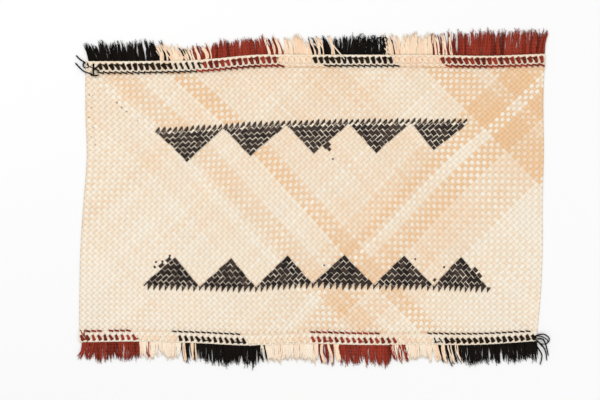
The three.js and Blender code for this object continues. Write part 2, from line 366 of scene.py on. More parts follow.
# Strips
strips = {
    "middle": 0.72 * mm,  # height of the plait's middle over the table
    "rise": 0.3 * mm,  # how far a strip climbs over its neighbour
    "crown": 0.12 * mm,
    "thickness": 0.42 * mm,
    "widest": 0.985,
    "narrowest": 0.925,
    "waver": 0.035,
    "uneven": 0.35,  # share by which one climb differs from the next
    "ownTone": 0.2,  # how far each strip's tone strays from its band's
    "toneDrift": 0.25,  # and how far it strays along the strip
    "toneRange": (-0.2, 1.1),
    "hollowShade": (0.66, 0.26),  # painted shade where a strip dives between the crossings, for pale and for tan strips
    # painted shade towards each strip's edges
    "edgeShade": 0.4,
    "hemThickness": 0.8,  # of a strip in a hem, over the others'
}
# Dyed or sunburnt leaves were plaited in side by side, so bands cross the mat both ways. From which
# strip number each band runs, and how tan it is at its two ends: falling strips at their lower right
# and upper left, rising ones at their lower left and upper right. Far apart, they are pieced leaves.
fallingBands = [
    (-2, 0.0, -0.1), (17.6, 0.0, 0.04), (29, 0.0, 0.1), (40.4, 0.1, 0.3), (47, 0.3, -1.0), (49, 0.3, 0.4),
    (49.9, 0.62, 0.66), (55.2, 0.15, 0.18), (61.2, 0.7, 0.98), (65, 0.3, 0.34), (74, 0.25, 0.52),
    (83.2, 0.1, 0.85), (91, 0.1, 0.25), (99.7, 0.15, 0.55), (105.4, 1.05, 0.9), (112.7, 0.55, 0.7),
    (115.8, 0.95, 0.8), (122, 0.5, 0.45),
]
risingBands = [
    (-80, 0.0, -0.05), (-51.4, -0.2, 0.85), (-46.8, 0.6, 0.6), (-43.1, 0.3, 0.6), (-41, 0.45, 1.2),
    (-36, 0.7, 0.0), (-35, 0.05, 0.0), (-33, -0.3, 1.2), (-32, -0.7, 2.4), (-29.8, 0.2, 0.95),
    (-26.4, 0.17, 0.32), (-19, 0.18, 0.4), (-17, 0.3, -0.8), (-16, 0.18, 0.4), (-12.2, 0.15, 0.45),
    (-2, 0.1, 0.5), (7.7, 0.05, 0.2), (9.7, 0.13, 0.33), (19, 0.4, 0.55), (24.4, 0.36, 0.2), (32, 0.38, 0.4),
]
bandEnds = {True: (0, 128), False: (-76, 48)}  # places of the two tones along rising and falling strips


def bandTone(rising, number, along):
    bands = risingBands if rising else fallingBands
    start, end = bandEnds[rising]
    t = clamp((along - start) / (end - start))
    found = bands[0]
    for band in bands:
        if number >= band[0]:
            found = band
    return lerp(found[1], found[2], t)


def roughly(*seeds):
    return noise.noise(Vector([3.7 * seed + 0.31 for seed in (*seeds, 0.5, 0.5)[:3]]))


class Family:
    # Strips that lean one way. Rising strips keep row - column, falling ones row + column.
    def __init__(self, rising):
        self.rising = rising

    def turned(self, column, row):
        return (row - column, row + column) if self.rising else (row + column, row - column)

    def split(self, column, row):
        across, along = self.turned(column, row)
        number = math.floor(across) + 0.5
        return number, across - number, along

    # The flat grid of one strip, from start to end along it, in columns and rows.
    def lay(self, bm, number, start, end, width, sections, aside=2):
        half, middle = (end - start) / 2, (end + start) / 2
        way = 1 if self.rising else -1
        turn = Matrix(((way * half / 2, -width / 4, 0, way * (middle - number) / 2),
                       (half / 2, way * width / 4, 0, (middle + number) / 2),
                       (0, 0, 1, 0), (0, 0, 0, 1)))
        return bmesh.ops.create_grid(bm, x_segments=sections, y_segments=aside, size=1, matrix=turn)["verts"]


rising, falling = Family(True), Family(False)


# How high a plain strip stands at a place along it: 1 over a crossing, -1 under it.
def plainHeight(family, number, along):
    crossing = math.floor(along) + 0.5
    over = ((crossing - number) % 2 == 0) == family.rising
    plateau = clamp(2 - 4 * abs(along - crossing))
    return (1 if over else -1) * plateau, crossing


def cutAlong(bm, place, away, trim):
    bmesh.ops.bisect_plane(bm, geom=bm.verts[:] + bm.edges[:] + bm.faces[:], dist=1e-5,
                           plane_co=place, plane_no=away, clear_outer=trim)


def trimFlat(bm, left, right, bottom, top):
    for place, away in (((left, 0, 0), (-1, 0, 0)), ((right, 0, 0), (1, 0, 0)),
                        ((0, bottom, 0), (0, -1, 0)), ((0, top, 0), (0, 1, 0))):
        cutAlong(bm, place, away, True)


def newLeaves():
    bm = bmesh.new()
    return bm, {name: bm.verts.layers.float.new(name) for name in ("tone", "shade", "along", "aside")}


# One flat leaf, two units long and wide, to be shaped.
def newLeaf(bm, xSegments, ySegments):
    return bmesh.ops.create_grid(bm, x_segments=xSegments, y_segments=ySegments, size=1)["verts"]


# A corner's tone and shade, and its place along and across its leaf in metres.
def setLeaf(vert, layers, tone, shade, along, aside):
    for name, value in (("tone", tone), ("shade", shade), ("along", along), ("aside", aside)):
        vert[layers[name]] = value


def plainStrips(bm, family, bottom, top):
    across = plait["across"]
    if family.rising:
        numbers = range(math.floor(bottom - across), math.ceil(top))
    else:
        numbers = range(math.floor(bottom), math.ceil(across + top))
    for whole in numbers:
        number = whole + 0.5
        if family.rising:
            start = max(number, 2 * bottom - number)
            end = min(2 * across + number, 2 * top - number)
        else:
            start = max(number - 2 * across, 2 * bottom - number)
            end = min(number, 2 * top - number)
        start = math.floor(2 * start - 2) / 2 + 0.25
        sections = math.ceil(2 * (end + 1 - start))
        wide = lerp(strips["narrowest"], strips["widest"], 0.5 + roughly(number, family.rising))
        family.lay(bm, number, start, start + sections / 2, wide, sections)


# Gives every corner of a strip its height, its tone, its painted shade and its place on the table.
def settle(bm, family, layers, place, dyed=1.0):
    for vert in bm.verts:
        column, row = vert.co.x, vert.co.y
        number, aside, along = family.split(column, row)
        height, crossing = plainHeight(family, number, along)
        uneven = 1 + strips["uneven"] * roughly(number, crossing, family.rising)
        crown = strips["crown"] * (1 - 4 * aside * aside)
        lift = height * (strips["rise"] * uneven + crown)
        tone = dyed * bandTone(family.rising, number, along)
        tone += strips["ownTone"] * roughly(number, 9, family.rising)
        tone += strips["toneDrift"] * noise.noise(Vector((number * 1.7, along * 0.09, 3 + family.rising)))
        # painted shade: darker where the strip dives under its neighbour, most in tan bands, and towards its
        # edges
        hollowShade = lerp(*strips["hollowShade"], clamp(tone))
        shade = clamp(lerp(hollowShade, 1.0, abs(height)) - strips["edgeShade"] * aside * aside)
        setLeaf(vert, layers, clamp(tone, *strips["toneRange"]), shade,
                along * plait["stripWidth"], aside * plait["stripWidth"])
        sway = strips["waver"] * noise.noise(Vector((number * 3.1, along * 0.12, family.rising)))
        vert.co = place(column + (-sway if family.rising else sway) / 2, row + sway / 2, lift)


def onTable(column, row, lift):
    x, y = laid(clamp(column, 0, plait["across"]), clamp(row, 0, plait["down"]))
    return x, y, strips["middle"] + lift


def finishPiece(bm, name, material, slotName, thickness=0.0):
    for face in bm.faces:
        face.smooth = True
    mesh = bpy.data.meshes.new(name)
    bm.to_mesh(mesh)
    bm.free()
    made = bpy.data.objects.new(name, mesh)
    bpy.context.collection.objects.link(made)
    mesh.materials.append(material)
    if thickness:
        wall = made.modifiers.new("leaf", "SOLIDIFY")
        wall.thickness = thickness
        wall.offset = 0
    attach(made, "root")
    return made


def plainLayer(name, family):
    bm, layers = newLeaves()
    plainStrips(bm, family, 0, plait["down"])
    trimFlat(bm, 0, plait["across"], 0, plait["down"])
    settle(bm, family, layers, onTable)
    return finishPiece(bm, name, straw, "pandanus", strips["thickness"])


risingStrips = plainLayer("rising_strips", rising)
fallingStrips = plainLayer("falling_strips", falling)
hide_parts("mat")
onMat = [fallingStrips]
print("plait:", len(risingStrips.data.polygons), "and", len(fallingStrips.data.polygons), "faces")

# Turned selvages
selvageFold = {
    "radius": 0.5 * mm,
    "sections": 5,
    "length": 0.86,  # along the edge, in checks
    "uneven": 0.12,
    "bulge": 0.25,  # how far its middle stands out past its ends
    "rounded": 0.6,  # how much darker its ends are: painted shade between neighbouring folds
    "climb": 1.2,  # its height over a strip's rise
    "slant": 0.25,
    "thickness": 0.25 * mm,
}


def makeSelvageFolds():
    bm, layers = newLeaves()
    sections = selvageFold["sections"]
    for column, outward in ((0, -1), (plait["across"], 1)):
        for whole in range(plait["down"]):
            row = whole + 0.5
            length = selvageFold["length"] * (1 + selvageFold["uneven"] * roughly(whole, outward))
            # each strip turns round the edge here, from one family to the other
            tone = bandTone(True, row - column, row + column) + strips["ownTone"] * roughly(row - column, 2)
            for vert in newLeaf(bm, sections, 2):
                turn = vert.co.x * math.pi / 2
                side = vert.co.y * length / 2
                bulge = 1 + selvageFold["bulge"] * (1 - vert.co.y**2)
                out = selvageFold["radius"] * math.cos(turn) * bulge
                slant = selvageFold["slant"] * math.sin(turn) * (0.5 - abs(side))
                x, y = laid(column, row + side + slant)
                # painted shade towards the ends of each fold
                setLeaf(vert, layers, clamp(tone), 1 - selvageFold["rounded"] * vert.co.y**2,
                        turn * selvageFold["radius"], side * check)
                lift = strips["rise"] * selvageFold["climb"] * math.sin(turn)
                vert.co = (x + outward * out, y, strips["middle"] + lift)
    bmesh.ops.recalc_face_normals(bm, faces=bm.faces[:])
    return finishPiece(bm, "selvage_folds", straw, "pandanus", selvageFold["thickness"])


onMat.append(makeSelvageFolds())

# Turned hems
hems = {
    "depth": 1.85,  # checks
    "fold": 0.76 * mm,  # radius of the turned edge
    "dyed": 0.45,  # how far the bands show in the turned hems
    "creases": (0.03, 0.08, 0.13, 0.18, 0.23, 0.26),  # extra rows round the fold, in checks
}


def overHem(topHem):
    edgeRow = plait["down"] if topHem else 0
    outward = 1 if topHem else -1
    radius = hems["fold"]

    def place(column, row, lift):
        travel = max(0.0, (row - edgeRow) * outward) * check
        turn = travel / radius
        column = clamp(column, 0, plait["across"])
        if turn < math.pi:
            x, y = laid(column, edgeRow)
            out = (radius - lift) * math.sin(turn)
            up = radius * (1 - math.cos(turn)) + lift * math.cos(turn)
            return x, y + outward * out, strips["middle"] + up
        back = (travel - math.pi * radius) / check
        x, y = laid(column, edgeRow - outward * back)
        return x, y, strips["middle"] + 2 * radius - lift

    return place


def makeHem(name, topHem):
    bm, _ = newLeaves()
    depth = hems["depth"] + math.pi * hems["fold"] / check
    edgeRow = plait["down"] if topHem else 0
    bottom, top = (edgeRow, edgeRow + depth) if topHem else (-depth, 0)
    for family in (rising, falling):
        part, partLayers = newLeaves()
        plainStrips(part, family, bottom, top)
        trimFlat(part, 0, plait["across"], bottom, top)
        for crease in hems["creases"]:
            cutAlong(part, (0, edgeRow + (crease if topHem else -crease), 0), (0, 1, 0), False)
        settle(part, family, partLayers, overHem(topHem), hems["dyed"])
        mesh = bpy.data.meshes.new("part")
        part.to_mesh(mesh)
        part.free()
        bm.from_mesh(mesh)
        bpy.data.meshes.remove(mesh)
    return finishPiece(bm, name, straw, "pandanus", strips["thickness"] * strips["hemThickness"])


onMat += [makeHem("top_hem", True), makeHem("bottom_hem", False)]
print("hems turned")

# Black triangles
twill = {
    "level": 1.66 * mm,  # middle of the overlaid leaves
    "rise": 0.24 * mm,
    "carrier": 0.985,  # pale leaf under each black one, in strip widths
    "widest": 1.03,
    "narrowest": 0.93,
    "gap": (0.06, 0.22),  # left pale at a brick's end, in strip widths
    "bared": 0.25,  # share of the bricks that leave a pale line along a side too
    "barePart": 0.14,  # how much narrower those are
    "closer": 0.75,  # how much less pale shows in the lower row
    "shortest": 0.25,
    "least": 0.1,  # share of a crossing that has to lie in the triangle
    "tones": (0.8, 1.5),  # the most worn, and how rare that is
    "past": (0.08, 0.1),  # how far the leaves run past the base, in the upper and lower row
    "arch": 0.1 * mm,
    # painted shade towards the ends of each black brick, where it dives
    "endShade": 0.5,
    "carrierTone": (-0.05, 0.4),  # and how far it strays
    "carrierShade": (0.45, 1.0),  # painted shade of a pale leaf under a crossing and over it
    "worn": 0.2,  # how much paler the upper row is
    "over": 0.2 * mm,  # how far a black leaf lies over its pale one
    "thickness": 0.26 * mm,
}
# Row of the bases, way that the points look, checks along each base, and where the twill starts
triangleRows = [(plait["upperRow"], -1, (12, 11, 11, 11, 10), 0), (plait["lowerRow"], 1, (10,) * 6, 2)]
firstColumn = 11
triangles = [(base, points, firstColumn + sum(counts[:i]), count, phase)
             for base, points, counts, phase in triangleRows for i, count in enumerate(counts)]
# Cut ends along the bases: those of the upper row stand up, those of the lower row hang down. In checks
teeth = {
    "height": 0.84,
    "uneven": 0.3,
    "from": 0.1, "to": 0.66, "tip": 0.8, "foot": -0.1,  # upper row: where one starts, ends and points
    "flare": (1.265, 0.33),  # its width at the foot over that, and how far it strays
    "taper": 0.6,
    "blunt": 0.035,
    "drop": 1.03, "dropFoot": -0.05, "dropSlant": 0.3,  # lower row: where one hangs, and its lean
    "dropHalf": 0.31,
    "dropTaper": 0.8,
    "dropBlunt": 0.03,
    "tone": (0.6, 0.7),  # and how far it strays
    "lift": 0.14 * mm,  # at the foot
    "crown": 0.1 * mm,
}


# Over two and under two: rising leaves lie on top in one row of checks, falling ones in the next.
def isOver(family, number, crossing, phase):
    share = math.floor(crossing + number + phase + 0.5) % 4
    return (share in (0, 1)) == family.rising


def twillHeight(family, number, along, phase):
    crossing = math.floor(along) + 0.5
    step = along - crossing
    here, there = (1 if isOver(family, number, at, phase) else -1
                   for at in (crossing, crossing + (1 if step > 0 else -1)))
    return lerp(here, (here + there) / 2, clamp(4 * abs(step) - 1))


# Every leaf of one family in a triangle: its number, and where it starts and ends along itself.
def leavesOf(family, base, points, first, count):
    for i in range(count):
        if family.rising:
            number = base - first - count + i + 0.5
            slope, foot = (base + first if points < 0 else base + first + count), 2 * base - number
        else:
            number = base + first + i + 0.5
            slope, foot = (base - first - count if points < 0 else base - first), 2 * base - number
        yield number, min(slope, foot), max(slope, foot), foot


# The pale leaves that the black ones lie on, which show between them, with painted shade where they dive
# under a crossing.
def makeCarriers():
    bm, layers = newLeaves()
    for base, points, first, count, phase in triangles:
        for family in (rising, falling):
            for number, low, high, foot in leavesOf(family, base, points, first, count):
                sections = max(2, round(4 * (high - low)))
                for vert in family.lay(bm, number, low, high, twill["carrier"], sections, 1):
                    across, along = family.turned(vert.co.x, vert.co.y)
                    height = twillHeight(family, number, clamp(along, low + 0.01, high - 0.01), phase)
                    tone = clamp(twill["carrierTone"][0] + twill["carrierTone"][1] * roughly(number, along))
                    setLeaf(vert, layers, tone, lerp(*twill["carrierShade"], 0.5 + height / 2),
                            along * plait["stripWidth"], (across - number) * plait["stripWidth"])
                    x, y = laid(vert.co.x, vert.co.y)
                    vert.co = (x, y, twill["level"] + twill["rise"] * height)
    return finishPiece(bm, "triangle_leaves_pale", straw, "pandanus", twill["thickness"])


# A black leaf shows as bricks two crossings long. A sliver of the pale one shows at their ends.
def makeBricks():
    bm, layers = newLeaves()
    chance = random.Random(23)
    palest, rare = twill["tones"]
    for base, points, first, count, phase in triangles:
        for family in (rising, falling):
            for number, low, high, foot in leavesOf(family, base, points, first, count):
                past, close = (twill["past"][0], 1) if points < 0 else (twill["past"][1], twill["closer"])
                inside = 0.5 - twill["least"]
                low, high = (low, high + past) if foot == high else (low - past, high)
                crossings = [math.floor(low) + 0.5 + i for i in range(math.ceil(high - low) + 1)]
                runs = []
                for at in crossings:
                    if isOver(family, number, at, phase) and low < at + inside and at - inside < high:
                        if runs and runs[-1][-1] == at - 1:
                            runs[-1].append(at)
                        else:
                            runs.append([at])
                for run in runs:
                    start = max(run[0] - 0.5, low) + chance.uniform(*twill["gap"]) * close
                    end = min(run[-1] + 0.5, high) - chance.uniform(*twill["gap"]) * close
                    if end - start < twill["shortest"]:
                        continue
                    width = chance.uniform(twill["narrowest"], twill["widest"])
                    if chance.random() < twill["bared"] * close:
                        width -= twill["barePart"]
                    tone = chance.uniform(0, palest) ** rare + (twill["worn"] if points < 0 else 0)
                    sections = max(2, round(3 * (end - start)))
                    for vert in family.lay(bm, number, start, end, width, sections):
                        across, along = family.turned(vert.co.x, vert.co.y)
                        t = 2 * (along - start) / (end - start) - 1
                        # painted shade: each brick darkens towards its ends
                        setLeaf(vert, layers, tone, 1 - twill["endShade"] * t * t,
                                along * plait["stripWidth"], (across - number) * plait["stripWidth"])
                        arch = twill["arch"] * (t**4 + 0.5 * (2 * (across - number)) ** 2)
                        x, y = laid(vert.co.x, vert.co.y)
                        vert.co = (x, y, twill["level"] + twill["rise"] + twill["over"] - arch)
    return finishPiece(bm, "triangle_leaves_black", blackLeaf, "pandanus", twill["thickness"])


onMat += [makeCarriers(), makeBricks()]


# One to a check.
def makeTeeth():
    bm, layers = newLeaves()
    for base, points, first, count, phase in triangles:
        for i in range(count):
            column = first + i
            seed = roughly(column, base)
            long = teeth["height"] * (1 + teeth["uneven"] * seed)
            flare = teeth["flare"][0] + teeth["flare"][1] * roughly(column, base, 4)
            for vert in newLeaf(bm, 2, 5):
                up = vert.co.y / 2 + 0.5  # 0 at the foot and 1 at the tip
                if points < 0:
                    half = (teeth["to"] - teeth["from"]) / 2 * flare
                    half = half * (1 - up) ** teeth["taper"] + teeth["blunt"]
                    middle = lerp((teeth["from"] + teeth["to"]) / 2, teeth["tip"], up)
                    reach = lerp(teeth["foot"], long, up)
                else:
                    half = teeth["dropHalf"] * (1 - up) ** teeth["dropTaper"] * (1 + teeth["uneven"] * seed)
                    half += teeth["dropBlunt"]
                    middle = teeth["drop"] + teeth["dropSlant"] * (0.5 - up)
                    reach = lerp(teeth["dropFoot"], long, up)
                x, y = laid(column + middle + vert.co.x * half, base - points * reach)
                setLeaf(vert, layers, clamp(teeth["tone"][0] + teeth["tone"][1] * seed), 1.0,
                        reach * check, vert.co.x * half * check)
                lift = teeth["lift"] * (1 - up) + teeth["crown"] * (1 - vert.co.x**2)
                vert.co = (x, y, twill["level"] + lift)
    bmesh.ops.recalc_face_normals(bm, faces=bm.faces[:])
    return finishPiece(bm, "triangle_teeth", blackLeaf, "pandanus", twill["thickness"])


onMat.append(makeTeeth())

# Black ends that stray off the triangles: column, row, length and width in checks, and their lean
strayHeight, straySag = 1.5 * mm, 0.12 * mm
strayEnds = [
    (14.9, 14.5, 0.9, 0.6, 1), (13.8, 13.5, 0.9, 0.6, 1), (15.1, 15.2, 0.35, 0.35, 1),
    (13.9, 14.2, 0.4, 0.3, -1), (12.8, 14.1, 0.35, 0.3, 1), (12.7, 13.2, 0.45, 0.35, -1),
    (58.0, 14.4, 0.3, 0.3, 1), (63.1, 13.2, 0.35, 0.3, 1), (42.7, 13.1, 0.3, 0.25, -1),
    (43.0, 30.6, 0.3, 0.3, 1), (61.2, 11.0, 0.6, 0.4, 1), (41.7, 33.0, 1.2, 0.9, 1),
    (42.2, 32.3, 0.7, 0.5, -1), (68.6, 12.9, 0.9, 0.55, -1), (69.4, 12.0, 0.9, 0.55, -1),
    (0.6, 43.4, 0.22, 0.1, 1), (0.9, 41.2, 0.22, 0.09, 1), (0.5, 39.6, 0.2, 0.09, 1),
    (1.1, 37.8, 0.2, 0.09, -1), (0.7, 36.1, 0.22, 0.09, 1), (1.3, 34.6, 0.2, 0.09, 1),
    (5.1, 42.1, 0.3, 0.12, -1), (5.8, 41.3, 0.35, 0.12, -1), (6.6, 40.6, 0.25, 0.12, -1),
    (8.3, 39.0, 0.2, 0.1, -1),
]


def makeStrayEnds():
    bm, layers = newLeaves()
    turn = math.sqrt(0.5)  # they lean by half a right angle
    for column, row, long, wide, lean in strayEnds:
        for vert in newLeaf(bm, 2, 2):
            along, aside = vert.co.x * long / 2, vert.co.y * wide / 2
            x, y = laid(column + turn * (along - lean * aside), row + turn * (lean * along + aside))
            setLeaf(vert, layers, 0.5, 1.0, along * check, aside * check)
            vert.co = (x, y, strayHeight - straySag * vert.co.x**2)
    bmesh.ops.recalc_face_normals(bm, faces=bm.faces[:])
    return finishPiece(bm, "stray_black_ends", blackLeaf, "pandanus", twill["thickness"])


onMat.append(makeStrayEnds())
print("triangles laid")


# Yarn
yarnSlots = {"black": "black_wool", "natural": "natural_wool", "red": "red_wool"}


def newYarns():
    bm = bmesh.new()
    return bm, {name: bm.verts.layers.float.new(name) for name in ("tone", "around", "along")}


def pathPoint(points, t):
    steps = len(points) - 1
    i = min(int(t * steps), steps - 1)
    u = t * steps - i
    a, b, c, d = (points[min(max(i + k, 0), steps)] for k in (-1, 0, 1, 2))
    return 0.5 * (2 * b + (c - a) * u + (2 * a - 5 * b + 4 * c - d) * u * u
                  + (3 * b - a - 3 * c + d) * u**3)


# One length of yarn along a few points: a closed tube whose two ends draw in.
def spinYarn(bm, layers, points, radius, tone, sides=5, sections=8, tip=0.6):
    points = [Vector(point) for point in points]
    length = sum((b - a).length for a, b in zip(points, points[1:]))
    near = 0.02  # of the yarn's length
    rings = {}
    for vert in bmesh.ops.create_grid(bm, x_segments=sides, y_segments=sections, size=1)["verts"]:
        t = round((vert.co.y + 1) / 2, 4)
        if t not in rings:
            middle = pathPoint(points, t)
            ahead = pathPoint(points, min(t + near, 1)) - pathPoint(points, max(t - near, 0))
            aside = ahead.cross(Vector((0, 0, 1))).normalized()
            rings[t] = (middle, aside, aside.cross(ahead).normalized())
        middle, aside, upward = rings[t]
        angle = vert.co.x * math.pi
        drawn = 0.0 if t in (0, 1) else lerp(1, tip, t**3)
        vert[layers["tone"]] = tone
        vert[layers["around"]] = vert.co.x / 2
        vert[layers["along"]] = t * length
        vert.co = middle + radius * drawn * (aside * math.cos(angle) + upward * math.sin(angle))


def finishYarns(bm, name, dye, material):
    bmesh.ops.remove_doubles(bm, verts=bm.verts[:], dist=1e-7)
    bmesh.ops.recalc_face_normals(bm, faces=bm.faces[:])
    return finishPiece(bm, name, material, yarnSlots[dye])


# Fringes
fringe = {
    "tufts": 1.86,  # to a check
    "yarns": 8,  # to a tuft
    "first": 0.7,  # column of the first yarn
    "lock": 3,  # yarns of one colour side by side, where two colours meet
    "over": 0.5,  # how far yarns of another colour lie over the rest
    "radius": {"black": 1.0 * mm, "natural": 1.15 * mm, "red": 1.0 * mm},
    "gather": (0.55, 1.05),  # 1 keeps a tuft's yarns apart, 0 brings their ends to one point
    "gatherMixed": (0.1, 0.5),
    "levels": (1.0, 1.3, 1.6, 2.0),  # heights at the hem, in millimetres
    "lean": 1.125,  # how unevenly the tufts lean, each by itself and neighbours together
    "leanTogether": 2.4,
    "bow": (1.2, 0.6),  # how far a tuft bows sideways, and a yarn in it
    "wave": 0.45,
    "crowded": 1.1,  # how far the tufts overlap
    "jitter": 0.3,
    "rounded": 0.4,  # how much shorter a tuft is at its sides
    "ragged": 1.8,
    "short": (0.1, 0.6, 0.9),  # share of the yarns that are short, and how short
    "stray": {False: 1.5, True: 0.8},  # how far a free end strays, where two colours meet or not
    "root": -1.2,
    "outset": 0.2,
    "margin": 0.04,  # kept free at the mat's corners, in checks
    "curved": 0.65,  # how much of a tuft's lean comes near its free end
    "shades": (-0.25, 1.25),
    "rest": (1.0, 0.3),  # height of the free ends, and how much higher every second one lies
    "spread": 1.8,  # how uneven the tufts' lengths are
    "clumps": 5.0,  # how far neighbouring tufts stay short or long together
    "hairs": 0.6,  # share of the yarns whose end opens into plies
    "hairLong": (2, 5),
    "hairSway": 1.2,
    "hairRadius": 0.4 * mm,
    "tip": 0.35,  # thickness of a free end, over its root's
}
# Each bundle: yarn, column where it ends, and its length and lean at its left, middle and right end
bundles = {
    "top": [
        ("black", 14.2, (25, 31, 26), (-9, -3, -8)), ("natural", 18, (24, 22, 22), (-8, -8, -6)),
        ("red", 31.4, (22, 26, 28), (-6, 0, -4)), ("natural", 39, (29, 29, 24), (-4, -3, -4)),
        ("black", 51.6, (26, 29, 30), (-9, 1, -3)), ("natural", 59.7, (32, 34, 33), (-3, 2, 0)),
        ("red", 79, (34, 40, 37), (-4, 1, 5)),
    ],
    "bottom": [
        ("red", 10.4, (27, 30, 27), (-5, 0, 1)), ("natural", 17.4, (25, 24, 25), (0, 1, 0)),
        ("black", 30.5, (29, 31, 30), (-1, 1, 2)), ("natural", 41.3, (26, 26, 26), (0, -1, 0)),
        ("red", 53.7, (29, 32, 31), (0, 1, 3)), ("natural", 61, (28, 26, 26), (1, 0, 3)),
        ("black", 79, (28, 31, 30), (6, 1, 2)),
    ],
}
# Where locks of another colour stand in a bundle: from, to, yarn, share of the locks, and their lean
mixedYarns = {
    "top": [(12.8, 14.2, "natural", 0.3, -8), (14.2, 18, "black", 0.45, -8), (18, 22, "natural", 0.3, -7),
            (31.4, 34.2, "red", 0.45, -7), (38.4, 43, "natural", 0.35, -8), (51.6, 54.5, "black", 0.3, -6),
            (59.7, 63.5, "natural", 0.4, -4)],
    "bottom": [(10.4, 12.2, "red", 0.45, 3), (17.4, 20, "natural", 0.42, 3), (30.5, 32.2, "black", 0.4, 4),
               (41.3, 45, "natural", 0.35, 3), (53.7, 56.4, "red", 0.5, 5), (61, 65.5, "natural", 0.42, 7)],
}


# One tuft of a fringe: yarns side by side, whose free ends draw together.
def makeTuft(outward, column, length, lean, mixed, chance):
    gather = chance.uniform(*fringe["gatherMixed" if mixed else "gather"])
    length += chance.gauss(0, fringe["spread"])
    length += fringe["clumps"] * noise.noise(Vector((column * 0.55, outward * 3.3, 0.7)))
    lean += chance.gauss(0, fringe["lean"])
    lean += fringe["leanTogether"] * noise.noise(Vector((column * 0.4, outward * 2.1, 5.7)))
    bow = chance.gauss(0, fringe["bow"][0])
    span = check / mm / fringe["tufts"]
    for k in range(fringe["yarns"]):
        share = (k + 0.5) / fringe["yarns"] - 0.5
        aside = share * span * fringe["crowded"] + chance.gauss(0, fringe["jitter"])
        margin = fringe["margin"]
        x, y = laid(clamp(column + aside * mm / check, margin, plait["across"] - margin),
                    plait["down"] if outward > 0 else 0)
        y += outward * fringe["outset"] * mm
        mine = length * (1 - fringe["rounded"] * share * share) + chance.gauss(0, fringe["ragged"])
        shortShare, *shortest = fringe["short"]
        if chance.random() < shortShare:
            mine *= chance.uniform(*shortest)
        level = chance.choice(fringe["levels"])
        tipLean = lean - aside * (1 - gather) + chance.gauss(0, fringe["stray"][mixed])
        sway, wave = bow + chance.gauss(0, fringe["bow"][1]), chance.gauss(0, fringe["wave"])
        points = []
        for t in (0, 0.25, 0.5, 0.75, 1):
            height = lerp(level, fringe["rest"][0] + fringe["rest"][1] * (k % 2), t**1.5)
            swing = sway * math.sin(math.pi * t) + wave * math.sin(2 * math.pi * t)
            points.append((x + (tipLean * lerp(t, t * t, fringe["curved"]) + swing) * mm,
                           y + outward * lerp(fringe["root"], mine, t) * mm, height * mm))
        yield points


def makeBundle(side, outward, index, yarn, start, end, lengths, leans):
    chance = random.Random(100 * index + (7 if outward > 0 else 3))
    bm, layers = newYarns()
    count = max(1, round((end - start) * fringe["tufts"]))
    others = []
    for i in range(count):
        t = (i + 0.5) / count
        column = lerp(start, end, t)
        if column < fringe["first"]:
            continue
        length = through(list(zip((0, 0.5, 1), lengths)), 1, t)
        tuftLean = through(list(zip((0, 0.5, 1), leans)), 1, t)
        shade = chance.random()
        dye, mixed = yarn, False
        for low, high, zoneDye, zoneShare, slant in mixedYarns[side]:
            if low <= column < high:
                tuftLean, mixed, other, share = slant, True, zoneDye, zoneShare
        for k, points in enumerate(makeTuft(outward, column, length, tuftLean, mixed, chance)):
            if mixed and k % fringe["lock"] == 0:
                dye = other if chance.random() < share else yarn
            if dye != yarn:
                others.append((dye, [(px, py, pz + fringe["over"] * mm) for px, py, pz in points]))
                continue
            tone = clamp(lerp(*fringe["shades"], (shade + chance.random()) / 2))
            spinYarn(bm, layers, points, fringe["radius"][yarn], tone, sections=6, tip=fringe["tip"])
            if chance.random() < fringe["hairs"]:
                tipAt, before = Vector(points[-1]), Vector(points[-2])
                away = (tipAt - before).normalized() * chance.uniform(*fringe["hairLong"]) * mm
                swing = Vector((chance.gauss(0, fringe["hairSway"]) * mm, 0, 0))
                root = tipAt - away * 0.5
                spinYarn(bm, layers, [root, root + away * 0.6 + swing * 0.4, root + away + swing],
                         fringe["hairRadius"], tone, sides=3, sections=3, tip=0.5)
    material = wool["faded"] if (yarn, side) == ("natural", "bottom") else wool[yarn]
    made = finishYarns(bm, "%s_fringe_%d_%s" % (side, index, yarn), yarn, material)
    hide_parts("fringe_%s_%d_%s" % (side, index, yarn))
    return made, others


